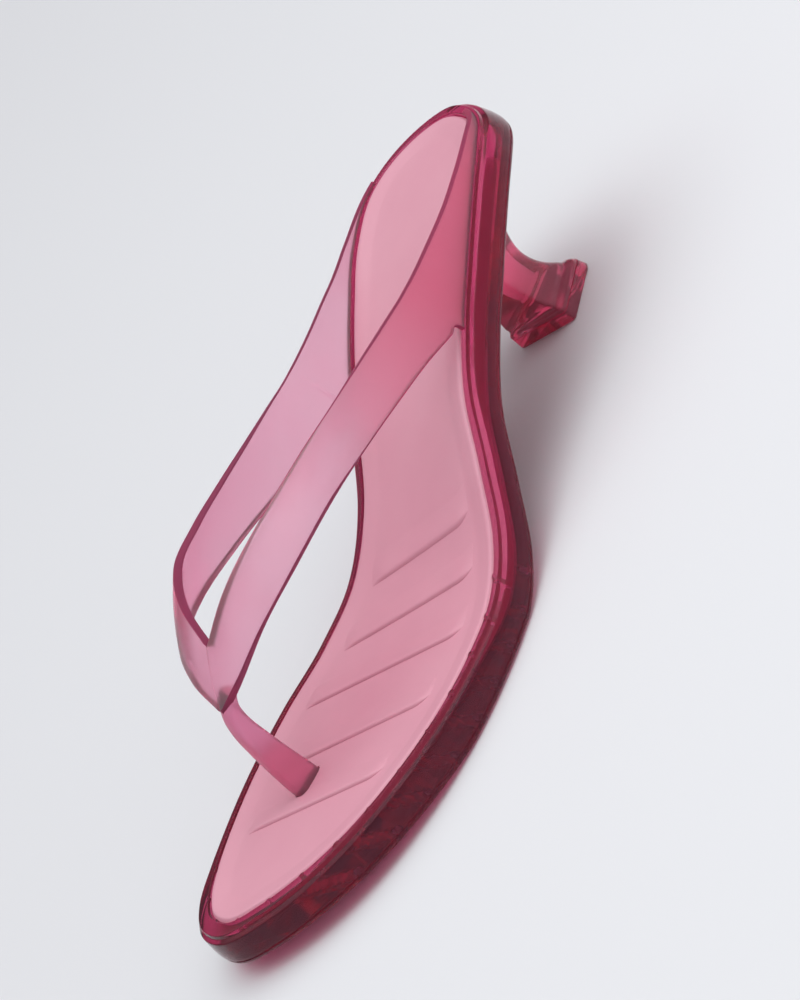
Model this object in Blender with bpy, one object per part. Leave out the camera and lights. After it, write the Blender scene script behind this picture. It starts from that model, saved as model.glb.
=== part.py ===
"""Kitten heel flip-flop, left shoe, as an assembly of five moulded pieces.

Frame while drawing: x runs from the back of the heel to the toe, y points to the outer
(lateral) side of the foot, z is up and the floor is z = 0. All sizes are in millimetres
and become metres when a piece is made. The last step moves the origin under the middle
of the shoe.
"""
import math

import bmesh
import bpy
import numpy as np

MM = 0.001
FIT_GAP = 0.3             # clearance between neighbouring pieces

# Footbed outline and heights, a row per station along the foot.
# station: distance from the back; medial, lateral: edge of the insole;
# top: footbed at the edge of the insole; under: underside of the sole.
FOOT_COLUMNS = ("station", "medial", "lateral", "top", "under")
FOOT = (
    (10.0, -28.4, -8.6, 55.0, 44.6),
    (17.0, -36.6, 1.8, 55.0, 44.6),
    (26.0, -40.4, 7.6, 54.8, 44.4),
    (44.0, -39.8, 13.8, 52.0, 41.4),
    (62.0, -35.4, 17.6, 47.2, 36.5),
    (80.0, -30.6, 20.3, 41.3, 30.6),
    (98.0, -26.6, 23.2, 33.4, 22.8),
    (116.0, -25.2, 29.0, 23.2, 12.6),
    (134.0, -29.6, 35.2, 14.2, 3.6),
    (150.0, -36.2, 39.8, 10.5, 0.0),
    (170.0, -41.0, 42.2, 10.3, 0.0),
    (188.0, -40.6, 41.4, 11.3, 0.0),
    (206.0, -36.8, 36.8, 12.7, 1.5),
    (222.0, -31.4, 28.0, 13.9, 3.0),
    (234.0, -25.2, 15.0, 14.7, 4.1),
    (240.0, -19.4, 3.8, 15.0, 4.6),
)
HEEL_TIP = (7.2, -18.4)
TOE_TIP = (243.4, -9.6)
FLAT_FROM = 150.0         # the underside rests on the floor between these stations
FLAT_TO = 188.0
SIDE_STEPS = 44           # outline points on each side
CAP_COLUMNS = 8           # faces across the footbed and the underside

# Sole section, from the tray that holds the insole out over the rim and down the wall.
# depth: of the tray under the footbed, deep at the heel and shallow under the toes.
TRAY_COLUMNS = ("station", "depth")
TRAY = (
    (8.0, 8.8),
    (60.0, 8.8),
    (110.0, 8.6),
    (140.0, 7.4),
    (165.0, 4.8),
    (185.0, 3.8),
    (244.0, 3.6),
)
# side, heel, toe: how far a point stands out from the insole edge along the sides, behind
# the heel and in front of the toe; rise: up from the footbed.
RIM_COLUMNS = ("side", "heel", "toe", "rise")
RIM = (
    (0.3, 0.3, 0.3, -0.5),
    (0.6, 0.6, 0.6, 0.0),
    (2.6, 3.3, 4.6, 0.0),
    (2.9, 3.6, 5.0, -0.5),
    (4.2, 4.7, 6.1, -1.6),
)
# share: of the height from the rim to the underside.
WALL_COLUMNS = ("side", "heel", "toe", "share")
WALL = (
    (4.9, 5.3, 6.4, 0.18),
    (5.7, 6.0, 6.8, 0.42),
    (6.2, 6.4, 7.0, 0.68),
    (6.0, 6.2, 6.8, 0.86),
    (5.4, 5.6, 6.2, 0.96),
    (4.4, 4.6, 5.2, 1.0),
)
HEEL_UNTIL = 36.0         # the section changes between these stations and the two tips
TOE_FROM = 212.0

# Insole section: a lip round the edge that slopes down to a lower field.
LIP_COLUMNS = ("out", "rise")
LIP = (
    (0.0, -0.7),
    (-0.5, -0.15),
    (-1.4, 0.0),
    (-4.0, -0.4),
    (-7.0, -0.9),
)
FIELD_DROP = 0.9

# Grip ridges on the footbed: ends of each ridge, lateral then medial.
RIDGE_COLUMNS = ("lateral_x", "lateral_y", "medial_x", "medial_y")
RIDGES = (
    (203.0, 28.5, 213.5, -25.5),
    (180.5, 32.0, 193.2, -31.0),
    (159.0, 31.4, 171.2, -32.4),
    (141.4, 27.4, 153.4, -26.8),
    (126.6, 23.4, 136.0, -20.4),
)
# A ridge rises gently from the heel side and drops steeply on the toe side.
RIDGE_PROFILE_COLUMNS = ("toward_toe", "lift")
RIDGE_PROFILE = (
    (-8.5, -0.3),
    (-5.5, 0.3),
    (-2.6, 0.85),
    (-1.2, 1.0),
    (-0.3, 0.7),
    (0.1, -0.3),
)
RIDGE_RISE = 1.0
RIDGE_STEPS = 14

# Heel: rows from the top lift up to the waist, then shares of the height to the sole.
HEEL_MIDDLE = (33.5, -15.8)
HEEL_TURN = math.radians(11.0)
TOP_LIFT_HEIGHT = 3.6
HEEL_COLUMNS = ("height", "back", "front", "half_back", "half_front")
TOP_LIFT = (
    (0.0, -12.9, 10.7, 8.9, 11.2),
    (0.4, -13.2, 11.0, 9.2, 11.5),
    (TOP_LIFT_HEIGHT, -12.2, 11.0, 9.0, 11.3),
)
HEEL_SHAFT = (
    (TOP_LIFT_HEIGHT + FIT_GAP, -12.0, 11.0, 9.0, 11.3),
    (5.6, -10.2, 11.1, 8.4, 10.7),
    (8.6, -7.4, 11.3, 7.4, 9.5),
    (12.4, -4.9, 11.6, 6.6, 8.3),
    (17.0, -3.4, 12.1, 6.1, 7.4),
    (21.0, -3.3, 12.6, 6.2, 7.2),
)
HEEL_SEAT = (
    (0.22, -4.9, 13.4, 7.2, 7.9),
    (0.44, -7.9, 14.8, 9.4, 9.6),
    (0.66, -12.2, 16.8, 12.6, 12.2),
    (0.85, -17.2, 19.2, 15.8, 15.4),
    (1.0, -21.8, 21.6, 18.2, 18.0),
)
HEEL_BACK_RADIUS = 0.55   # of the half width
HEEL_FRONT_RADIUS = 1.1

# Strap: a band from rim to rim over the foot, upper edge and lower edge per section.
BAND_THICKNESS = 2.4
BAND_SEAT_THICKNESS = 1.8 # where it stands on the rim
BAND_THINS_FROM = 112.0   # the band thins between these stations
BAND_THIN_AT = 84.0
BAND_CROWN = 0.7
BAND_COLUMNS = ("upper_x", "upper_y", "upper_z", "lower_x", "lower_y", "lower_z")
FORK = (184.0, -8.8, 52.4, 197.0, -8.7, 40.6)
LATERAL_ARM = (
    (174.0, 2.8, 60.2, 191.0, 1.4, 45.2),
    (163.0, 11.8, 64.4, 181.0, 11.4, 50.4),
    (150.0, 15.6, 65.0, 166.0, 20.8, 53.8),
    (136.0, 17.2, 64.4, 148.0, 24.6, 54.4),
    (120.0, 18.0, 63.0, 129.0, 23.0, 51.4),
    (104.0, 18.8, 61.6, 110.0, 21.6, 48.0),
    (91.0, 20.0, 60.6, 95.0, 21.4, 45.2),
)
MEDIAL_ARM = (
    (173.5, -20.2, 58.8, 190.0, -19.2, 46.2),
    (160.0, -29.4, 61.8, 178.0, -30.2, 49.8),
    (146.0, -32.4, 61.0, 162.0, -36.8, 48.8),
    (131.6, -33.5, 59.6, 141.4, -37.8, 45.6),
    (117.0, -33.7, 58.2, 123.0, -35.6, 42.6),
    (104.0, -33.6, 57.1, 108.0, -32.6, 40.6),
)
# Where the band stands on the rim: station, height of its upper edge over the footbed's edge
# and how far that edge leans out.
SEAT_COLUMNS = ("station", "height", "lean")
LATERAL_SEAT = (
    (85.0, 21.0, -1.5),
    (79.0, 18.2, -0.9),
    (66.0, 13.4, -0.3),
    (54.0, 9.5, 0.0),
    (40.0, 6.2, 0.0),
    (27.0, 4.1, 0.0),
    (17.0, 2.4, 0.0),
    (11.0, 0.8, 0.0),
)
MEDIAL_SEAT = (
    (93.2, 20.6, 4.6),
    (85.0, 16.7, 2.9),
    (79.0, 14.0, 2.3),
    (66.0, 9.1, 1.4),
    (54.0, 5.0, 0.7),
    (42.0, 2.4, 0.3),
    (32.0, 1.2, 0.1),
    (24.0, 0.8, 0.0),
)
SEAT_OUT = 1.35           # middle of the band, outward of the insole edge
NOTCH_HEIGHT = 3.6        # round end of the opening where the band leaves the rim
LATERAL_NOTCH = 81.8
MEDIAL_NOTCH = 90.6
NOTCH_RUN = 2.4
BAND_STEPS = 44

# Toe post, a row per height from the fork down into the sole.
POST_COLUMNS = ("height", "x", "y", "half_length", "half_width")
POST = (
    (44.5, 193.2, -8.7, 1.2, 1.2),
    (41.0, 195.4, -8.7, 2.1, 2.6),
    (36.0, 197.0, -8.7, 2.9, 2.5),
    (28.0, 198.2, -8.7, 3.7, 2.3),
    (20.0, 198.8, -8.7, 4.3, 2.3),
    (14.5, 199.0, -8.7, 4.7, 2.4),
    (4.8, 199.0, -8.7, 4.7, 2.4),
)
POST_SQUARENESS = 0.6
POST_POINTS = 20
SOCKET_FLOOR = 4.4

PVC_COLOUR = (0.46, 0.06, 0.13, 1.0)
HEEL_COLOUR = (0.46, 0.06, 0.13, 1.0)
LIFT_COLOUR = (0.40, 0.05, 0.11, 1.0)
STRAP_COLOUR = (0.56, 0.13, 0.22, 1.0)
INSOLE_COLOUR = (0.78, 0.42, 0.50, 1.0)


def column(rows, names, name):
    """One named column of a table as an array."""
    return np.array([row[names.index(name)] for row in rows], float)


def smooth(knots, values, where):
    """Cubic through the table values, with slopes from neighbours and straight ends."""
    knots = np.asarray(knots, float)
    values = np.asarray(values, float)
    where = np.clip(np.asarray(where, float), knots[0], knots[-1])
    chords = np.diff(values) / np.diff(knots)
    slopes = np.empty_like(values)
    slopes[0] = chords[0]
    slopes[-1] = chords[-1]
    left = np.diff(knots)[:-1]
    right = np.diff(knots)[1:]
    slopes[1:-1] = (chords[:-1] * right + chords[1:] * left) / (left + right)
    cell = np.clip(np.searchsorted(knots, where, side="right") - 1, 0, len(knots) - 2)
    width = knots[cell + 1] - knots[cell]
    t = (where - knots[cell]) / width
    a = (1 + 2 * t) * (1 - t) ** 2
    b = t * (1 - t) ** 2
    c = t * t * (3 - 2 * t)
    d = t * t * (t - 1)
    return a * values[cell] + b * width * slopes[cell] + c * values[cell + 1] + d * width * slopes[cell + 1]


STATION = column(FOOT, FOOT_COLUMNS, "station")


def footbed(x):
    """Height of the footbed at its edge."""
    return smooth(STATION, column(FOOT, FOOT_COLUMNS, "top"), x)


def tray(x):
    """Depth of the tray under the footbed."""
    return smooth(column(TRAY, TRAY_COLUMNS, "station"), column(TRAY, TRAY_COLUMNS, "depth"), x)


def underside(x):
    """Height of the underside of the sole, flat where it rests on the floor."""
    height = np.maximum(smooth(STATION, column(FOOT, FOOT_COLUMNS, "under"), x), 0.0)
    resting = (np.asarray(x) >= FLAT_FROM) & (np.asarray(x) <= FLAT_TO)
    return np.where(resting, 0.0, height)


def outline():
    """Insole edge as a closed ring: heel tip, lateral side, toe tip, medial side.

    Returns the plan points and their outward normals. Both sides have the same number
    of points, so that faces can run straight across from one side to the other.
    """
    lateral = np.column_stack((STATION, column(FOOT, FOOT_COLUMNS, "lateral")))
    medial = np.column_stack((STATION, column(FOOT, FOOT_COLUMNS, "medial")))
    ring = np.vstack((HEEL_TIP, lateral, TOE_TIP, medial[::-1]))
    count = len(ring)
    looped = np.vstack((ring[-4:], ring, ring[:5]))
    run = np.concatenate(([0.0], np.cumsum(np.linalg.norm(np.diff(looped, axis=0), axis=1))))
    start = run[4]
    toe = run[4 + 1 + len(lateral)]
    end = run[4 + count]
    marks = np.concatenate((
        np.linspace(start, toe, SIDE_STEPS, endpoint=False),
        np.linspace(toe, end, SIDE_STEPS, endpoint=False),
    ))

    def at(mark):
        return np.column_stack((smooth(run, looped[:, 0], mark), smooth(run, looped[:, 1], mark)))

    points = at(marks)
    along = at(marks + 0.4) - at(marks - 0.4)
    normals = np.column_stack((-along[:, 1], along[:, 0]))
    normals /= np.linalg.norm(normals, axis=1)[:, None]
    return points, normals


EDGE, OUTWARD = outline()


def ease(share):
    """Smooth step from 0 to 1."""
    share = np.clip(share, 0.0, 1.0)
    return share * share * (3.0 - 2.0 * share)


def stand_out(row):
    """Outward distance of a rim or wall row at each point of the insole edge."""
    side, heel, toe, _ = row
    x = EDGE[:, 0]
    back = ease((HEEL_UNTIL - x) / (HEEL_UNTIL - HEEL_TIP[0]))
    front = ease((x - TOE_FROM) / (TOE_TIP[0] - TOE_FROM))
    return side + (heel - side) * back + (toe - side) * front


def ring_at(out, height):
    """Closed ring of points at an outward distance with a height for each point."""
    plan = EDGE + OUTWARD * np.asarray(out)[..., None]
    return np.column_stack((plan, np.broadcast_to(height, len(plan))))


class Shell:
    """Vertices and faces of one closed piece, collected ring by ring."""

    def __init__(self):
        self.points = []
        self.faces = []

    def add(self, points):
        first = len(self.points)
        self.points.extend(tuple(p) for p in np.asarray(points, float))
        return list(range(first, len(self.points)))

    def skin(self, ring_a, ring_b):
        """Wall between two rings of the same length."""
        count = len(ring_a)
        for i in range(count):
            j = (i + 1) % count
            self.faces.append((ring_a[i], ring_a[j], ring_b[j], ring_b[i]))

    def ladder(self, ring, height, columns=CAP_COLUMNS):
        """Cap across a foot-shaped ring, with the height worked out from x."""
        half = len(ring) // 2
        rows = [[ring[0]]]
        for i in range(1, half):
            a = np.array(self.points[ring[i]])
            b = np.array(self.points[ring[-i]])
            inner = []
            for j in range(1, columns):
                p = a + (b - a) * j / columns
                p[2] = height(p[0])
                inner.append(p)
            rows.append([ring[i]] + self.add(inner) + [ring[-i]])
        rows.append([ring[half]])
        for low, high in zip(rows[:-1], rows[1:]):
            if len(low) == 1:
                for j in range(columns):
                    self.faces.append((low[0], high[j], high[j + 1]))
            elif len(high) == 1:
                for j in range(columns):
                    self.faces.append((low[j], high[0], low[j + 1]))
            else:
                for j in range(columns):
                    self.faces.append((low[j], high[j], high[j + 1], low[j + 1]))

    def cone(self, ring, tip):
        """Cap that closes a ring to one point."""
        middle = self.add([tip])[0]
        for i, first in enumerate(ring):
            self.faces.append((first, ring[(i + 1) % len(ring)], middle))

    def make(self, name, colour=None):
        """Blender object in metres with its own material."""
        mesh = bpy.data.meshes.new(name)
        mesh.from_pydata([tuple(c * MM for c in p) for p in self.points], [], self.faces)
        work = bmesh.new()
        work.from_mesh(mesh)
        bmesh.ops.remove_doubles(work, verts=work.verts, dist=1e-6)
        bmesh.ops.recalc_face_normals(work, faces=work.faces)
        if work.calc_volume(signed=True) < 0:
            bmesh.ops.reverse_faces(work, faces=work.faces)
        work.to_mesh(mesh)
        work.free()
        item = bpy.data.objects.new(name, mesh)
        bpy.context.scene.collection.objects.link(item)
        if colour is not None:
            material = bpy.data.materials.new(name)
            material.use_nodes = True
            shader = material.node_tree.nodes["Principled BSDF"]
            shader.inputs["Base Color"].default_value = colour
            shader.inputs["Roughness"].default_value = 0.3
            mesh.materials.append(material)
        return item


def combine(target, tool, operation):
    """Boolean that keeps the tool as a hidden cutter."""
    change = target.modifiers.new(tool.name, "BOOLEAN")
    change.operation = operation
    change.solver = "EXACT"
    change.object = tool
    tool.hide_render = True
    tool.display_type = "WIRE"


def post_ring(row, extra=0.0):
    """Oval section of the toe post at one height."""
    height, x, y, half_length, half_width = row
    ring = []
    for i in range(POST_POINTS):
        angle = 2 * math.pi * i / POST_POINTS
        c = math.cos(angle)
        s = math.sin(angle)
        ring.append((
            x + (half_length + extra) * math.copysign(abs(c) ** POST_SQUARENESS, c),
            y + (half_width + extra) * math.copysign(abs(s) ** POST_SQUARENESS, s),
            height,
        ))
    return ring


def post_bore(name, top, bottom):
    """Cutter for the hole that the toe post passes through."""
    shell = Shell()
    low = POST[-1]
    rings = [shell.add(post_ring((z,) + low[1:], FIT_GAP)) for z in (bottom, top)]
    shell.skin(rings[0], rings[1])
    shell.cone(rings[0], (low[1], low[2], bottom))
    shell.cone(rings[1], (low[1], low[2], top))
    return shell.make(name)


def make_sole():
    shell = Shell()
    level = footbed(EDGE[:, 0])
    rings = [shell.add(ring_at(stand_out(RIM[0]), level - tray(EDGE[:, 0])))]
    for row in RIM:
        rings.append(shell.add(ring_at(stand_out(row), level + row[-1])))
    shoulder = level + RIM[-1][-1]
    for row in WALL:
        plan = EDGE + OUTWARD * stand_out(row)[:, None]
        ground = underside(plan[:, 0])
        rings.append(shell.add(np.column_stack((plan, shoulder + (ground - shoulder) * row[-1]))))
    for a, b in zip(rings[:-1], rings[1:]):
        shell.skin(a, b)
    shell.ladder(rings[0], lambda x: float(footbed(x) - tray(x)))
    shell.ladder(rings[-1], lambda x: float(underside(x)))
    sole = shell.make("sole", PVC_COLOUR)
    combine(sole, post_bore("sole_socket", 30.0, SOCKET_FLOOR), "DIFFERENCE")
    return sole


def make_ridge(name, row):
    """Low ridge that tapers out at both ends and follows the footbed."""
    start = np.array(row[:2])
    end = np.array(row[2:])
    along = (end - start) / np.linalg.norm(end - start)
    across = np.array((-along[1], along[0]))
    shell = Shell()
    rings = []
    for i in range(RIDGE_STEPS + 1):
        share = i / RIDGE_STEPS
        swell = math.sqrt(max(math.sin(math.pi * min(max(share, 0.015), 0.985)), 0.0))
        middle = start + (end - start) * share
        ring = []
        for toward_toe, lift in RIDGE_PROFILE:
            plan = middle + across * toward_toe * swell
            base = float(footbed(plan[0])) - FIELD_DROP
            ring.append((plan[0], plan[1], base + lift * RIDGE_RISE * swell))
        root = middle + across * 0.5 * RIDGE_PROFILE[0][0] * swell
        ring.append((root[0], root[1], float(footbed(root[0])) - FIELD_DROP - 1.0))
        rings.append(shell.add(ring))
    for a, b in zip(rings[:-1], rings[1:]):
        shell.skin(a, b)
    for ring in (rings[0], rings[-1]):
        shell.cone(ring, np.mean([shell.points[i] for i in ring], axis=0))
    return shell.make(name)


def make_insole():
    shell = Shell()
    level = footbed(EDGE[:, 0])
    bottom = level - tray(EDGE[:, 0]) + FIT_GAP
    rings = [shell.add(ring_at(np.zeros(len(EDGE)), bottom))]
    for out, rise in LIP:
        plan = EDGE + OUTWARD * out
        rings.append(shell.add(np.column_stack((plan, footbed(plan[:, 0]) + rise))))
    for a, b in zip(rings[:-1], rings[1:]):
        shell.skin(a, b)
    shell.ladder(rings[0], lambda x: float(footbed(x) - tray(x)) + FIT_GAP)
    shell.ladder(rings[-1], lambda x: float(footbed(x)) - FIELD_DROP)
    insole = shell.make("insole", INSOLE_COLOUR)
    for i, row in enumerate(RIDGES):
        combine(insole, make_ridge(f"ridge_{i + 1}", row), "UNION")
    combine(insole, post_bore("insole_hole", 30.0, 2.0), "DIFFERENCE")
    return insole


def heel_ring(row):
    """Section of the heel: square at the front, rounded at the back."""
    back, front, half_back, half_front = row
    back_radius = HEEL_BACK_RADIUS * half_back
    front_radius = HEEL_FRONT_RADIUS
    plan = []
    for along, half, radius, first in (
        (front, half_front, front_radius, 0.0),
        (back, half_back, back_radius, 90.0),
        (back, -half_back, back_radius, 180.0),
        (front, -half_front, front_radius, 270.0),
    ):
        centre_u = along - math.copysign(radius, along - 0.5 * (back + front))
        centre_w = half - math.copysign(radius, half)
        steps = 6 if along == back else 3
        for i in range(steps + 1):
            angle = math.radians(first + 90.0 * i / steps)
            plan.append((centre_u + radius * math.cos(angle), centre_w + radius * math.sin(angle)))
    cos_turn = math.cos(HEEL_TURN)
    sin_turn = math.sin(HEEL_TURN)
    return [
        (HEEL_MIDDLE[0] + u * cos_turn - w * sin_turn, HEEL_MIDDLE[1] + u * sin_turn + w * cos_turn)
        for u, w in plan
    ]


def make_heel():
    shell = Shell()
    rings = []
    for row in HEEL_SHAFT:
        rings.append(shell.add([(x, y, row[0]) for x, y in heel_ring(row[1:])]))
    waist = HEEL_SHAFT[-1][0]
    for row in HEEL_SEAT:
        plan = heel_ring(row[1:])
        rings.append(shell.add([
            (x, y, waist + (float(underside(x)) - FIT_GAP - waist) * row[0]) for x, y in plan
        ]))
    for a, b in zip(rings[:-1], rings[1:]):
        shell.skin(a, b)
    shell.cone(rings[0], (HEEL_MIDDLE[0], HEEL_MIDDLE[1], HEEL_SHAFT[0][0]))
    inner = rings[-1]
    for share in (0.75, 0.5, 0.25):
        shrunk = []
        for x, y in heel_ring(HEEL_SEAT[-1][1:]):
            px = HEEL_MIDDLE[0] + (x - HEEL_MIDDLE[0]) * share
            py = HEEL_MIDDLE[1] + (y - HEEL_MIDDLE[1]) * share
            shrunk.append((px, py, float(underside(px)) - FIT_GAP))
        ring = shell.add(shrunk)
        shell.skin(inner, ring)
        inner = ring
    shell.cone(inner, (*HEEL_MIDDLE, float(underside(HEEL_MIDDLE[0])) - FIT_GAP))
    return shell.make("heel", HEEL_COLOUR)


def make_top_lift():
    shell = Shell()
    rings = [shell.add([(x, y, row[0]) for x, y in heel_ring(row[1:])]) for row in TOP_LIFT]
    for a, b in zip(rings[:-1], rings[1:]):
        shell.skin(a, b)
    shell.cone(rings[0], (*HEEL_MIDDLE, 0.0))
    shell.cone(rings[-1], (*HEEL_MIDDLE, TOP_LIFT_HEIGHT))
    return shell.make("top_lift", LIFT_COLOUR)


def rim_place(station, side):
    """Point over the rim at a station, side +1 lateral or -1 medial, with its outward normal."""
    half = len(EDGE) // 2
    picks = range(1, half) if side > 0 else range(half + 1, len(EDGE))
    order = sorted(picks, key=lambda i: EDGE[i, 0])
    xs = EDGE[order, 0]
    point = np.array((station, np.interp(station, xs, EDGE[order, 1])))
    normal = np.array([np.interp(station, xs, OUTWARD[order, k]) for k in (0, 1)])
    normal /= np.linalg.norm(normal)
    return point + normal * SEAT_OUT, normal


def seat_level(station, notch_from):
    """Height of the lower edge over the rim, with a round end where the band leaves it."""
    share = min(max((station - notch_from) / NOTCH_RUN, 0.0), 1.0)
    return float(footbed(station)) + FIT_GAP + NOTCH_HEIGHT * math.sqrt(share * (2.0 - share))


def arm_sections(rows, seat, side, notch_from):
    """Upper and lower edges of one arm, from the fork to the back of the heel."""
    table = [np.array((*row, row[3])) for row in (FORK,) + rows]
    for station, height, lean in seat:
        place, normal = rim_place(station, side)
        upper = np.append(place + normal * lean, float(footbed(station)) + height)
        table.append(np.concatenate((upper, place, (seat_level(station, notch_from), station))))
    table = np.array(table)
    middle = 0.5 * (table[:, :3] + table[:, 3:6])
    run = np.concatenate(([0.0], np.cumsum(np.linalg.norm(np.diff(middle, axis=0), axis=1))))
    marks = np.linspace(0.0, run[-1], BAND_STEPS + 1)
    sections = np.column_stack([smooth(run, table[:, k], marks) for k in range(7)])
    seat_stations = column(seat, SEAT_COLUMNS, "station")[::-1]
    leans = column(seat, SEAT_COLUMNS, "lean")[::-1]
    for i, mark in enumerate(marks):
        if mark >= run[len(rows) + 1]:
            station = sections[i, 6]
            place, normal = rim_place(station, side)
            sections[i, 0:2] = place + normal * np.interp(station, seat_stations, leans)
            sections[i, 3:5] = place
            sections[i, 5] = seat_level(station, notch_from)
    return sections[:, :6]


def band_ring(section, along, outward_hint):
    """Closed section of the band round its upper and lower edge."""
    upper = section[:3]
    lower = section[3:]
    across = lower - upper
    width = np.linalg.norm(across)
    across = across / width
    normal = np.cross(along, across)
    normal /= np.linalg.norm(normal)
    if np.dot(normal, outward_hint) < 0:
        normal = -normal
    thinning = ease((BAND_THINS_FROM - lower[0]) / (BAND_THINS_FROM - BAND_THIN_AT))
    half = 0.5 * (BAND_THICKNESS + (BAND_SEAT_THICKNESS - BAND_THICKNESS) * thinning)
    edge = min(0.9 / width, 0.3)
    crown = BAND_CROWN * min(width / 14.0, 1.0)
    ring = []
    for share, lift in (
        (0.0, 0.45), (edge, 1.0), (0.28, 1.0), (0.5, 1.0), (0.72, 1.0), (1.0 - edge, 1.0), (1.0, 0.7),
        (1.0, -1.0), (0.72, -1.0), (0.5, -1.0), (0.28, -1.0), (edge, -1.0), (0.0, -0.45),
    ):
        bow = crown * 4.0 * share * (1.0 - share)
        ring.append(upper + across * width * share + normal * (half * lift + bow))
    return ring


def make_upper():
    lateral = arm_sections(LATERAL_ARM, LATERAL_SEAT, 1.0, LATERAL_NOTCH)
    medial = arm_sections(MEDIAL_ARM, MEDIAL_SEAT, -1.0, MEDIAL_NOTCH)
    chain = np.vstack((lateral[::-1], medial[1:]))
    fork = len(lateral) - 1
    middle = 0.5 * (chain[:, :3] + chain[:, 3:])
    shell = Shell()
    rings = []
    for i, section in enumerate(chain):
        if i == fork:
            along = np.array((0.0, -1.0, 0.0))
            hint = np.array((1.0, 0.0, 1.0))
        else:
            low = max(i - 1, 0) if i < fork else max(i - 1, fork)
            high = min(i + 1, fork) if i < fork else min(i + 1, len(chain) - 1)
            along = middle[high] - middle[low]
            along /= np.linalg.norm(along)
            hint = np.array((0.35, 1.0 if i < fork else -1.0, 0.45))
        rings.append(shell.add(band_ring(section, along, hint)))
    for a, b in zip(rings[:-1], rings[1:]):
        shell.skin(a, b)
    for ring in (rings[0], rings[-1]):
        shell.cone(ring, np.mean([shell.points[i] for i in ring], axis=0))
    upper = shell.make("upper", STRAP_COLOUR)
    post = Shell()
    rings = [post.add(post_ring(row)) for row in POST]
    for a, b in zip(rings[:-1], rings[1:]):
        post.skin(a, b)
    for ring, row in ((rings[0], POST[0]), (rings[-1], POST[-1])):
        post.cone(ring, (row[1], row[2], row[0]))
    combine(upper, post.make("toe_post"), "UNION")
    return upper


def centre_shoe():
    """Put the origin on the floor under the middle of the shoe."""
    widest = max(WALL, key=lambda row: row[0])
    box = EDGE + OUTWARD * stand_out(widest)[:, None]
    middle = 0.5 * (box.min(axis=0) + box.max(axis=0)) * MM
    for item in bpy.data.objects:
        for vertex in item.data.vertices:
            vertex.co.x -= middle[0]
            vertex.co.y -= middle[1]


for old in list(bpy.data.objects):
    bpy.data.objects.remove(old, do_unlink=True)

make_sole()
make_insole()
make_heel()
make_top_lift()
make_upper()
centre_shoe()
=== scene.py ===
# %% [markdown]
# # A kitten heel flip-flop in clear pink plastic
# The shoe is a thong sandal. Its sole, heel and strap are moulded in clear raspberry-pink PVC,
# and an opaque pale-pink footbed lies in the tray of the sole. The solids of the shoe are loaded
# as a fixed frame. This lesson draws each of them again as a finer surface in the same place, and
# then spends most of its care on the one thing that makes the shoe: light going through plastic.

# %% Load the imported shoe
import math

import bmesh
import bpy
import numpy as np
from mathutils import Matrix, Vector


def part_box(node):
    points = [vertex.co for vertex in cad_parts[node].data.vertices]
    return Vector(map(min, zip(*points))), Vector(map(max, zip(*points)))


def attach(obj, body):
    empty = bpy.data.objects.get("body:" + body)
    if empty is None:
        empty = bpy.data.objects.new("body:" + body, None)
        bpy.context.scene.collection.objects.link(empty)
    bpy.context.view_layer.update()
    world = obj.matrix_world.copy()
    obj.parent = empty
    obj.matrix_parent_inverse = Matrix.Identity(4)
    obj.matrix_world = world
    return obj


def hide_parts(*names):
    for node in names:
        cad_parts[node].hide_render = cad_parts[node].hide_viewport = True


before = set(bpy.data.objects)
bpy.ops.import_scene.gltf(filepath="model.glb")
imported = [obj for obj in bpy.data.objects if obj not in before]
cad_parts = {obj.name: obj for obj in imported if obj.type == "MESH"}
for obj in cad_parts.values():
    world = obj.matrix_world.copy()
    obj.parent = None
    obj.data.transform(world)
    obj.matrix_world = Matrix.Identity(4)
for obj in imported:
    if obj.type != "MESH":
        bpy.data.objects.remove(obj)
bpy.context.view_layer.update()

MM = 0.001

# %% [markdown]
# ## The camera
# The photograph looks at the outer side of the shoe from the front and a little above, with the
# camera rolled, so that the toe points down and to the left. The eye and the photograph's up
# direction are given in the shoe's own axes. The camera is aimed at the middle of the shoe.

# %% Camera
EYE = Vector((0.539, 0.977, 0.482))
PHOTO_UP = Vector((-0.798, 0.205, 0.567))
AIM = Vector((-0.004, 0.0, 0.026))
LENS_MM = 166.0

view_line = (AIM - EYE).normalized()
view_right = view_line.cross(PHOTO_UP).normalized()
view_up = view_right.cross(view_line)
camera_data = bpy.data.cameras.new("camera")
camera_data.lens = LENS_MM
camera = bpy.data.objects.new("camera", camera_data)
turn = Matrix((view_right, view_up, -view_line)).transposed().to_4x4()
camera.matrix_world = Matrix.Translation(EYE) @ turn
bpy.context.scene.collection.objects.link(camera)
bpy.context.scene.camera = camera
print("camera looks down by", round(math.degrees(math.asin(-view_line.z)), 1), "degrees")

# %% [markdown]
# ## Colours and nodes
# Colours are written as the sRGB hex values that a colour picker shows, and one function turns
# them into the linear values that Blender works with. One small function adds a node, sets its
# values and links its inputs, so that a material reads as a list of its nodes.

# %% Colour and node helpers
def linear(hex_colour):
    """Linear RGBA from an sRGB hex value."""
    channels = [int(hex_colour[i:i + 2], 16) / 255 for i in (1, 3, 5)]
    return [c / 12.92 if c <= 0.04045 else ((c + 0.055) / 1.055) ** 2.4 for c in channels] + [1.0]


def add_node(material, kind, links=None, values=None, **settings):
    """Add a node, set its properties and input values, and link its inputs to other sockets."""
    tree = material.node_tree
    node = tree.nodes.new(kind)
    for name, value in settings.items():
        setattr(node, name, value)
    for name, value in (values or {}).items():
        node.inputs[name].default_value = value
    for name, socket in (links or {}).items():
        tree.links.new(socket, node.inputs[name])
    return node


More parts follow.
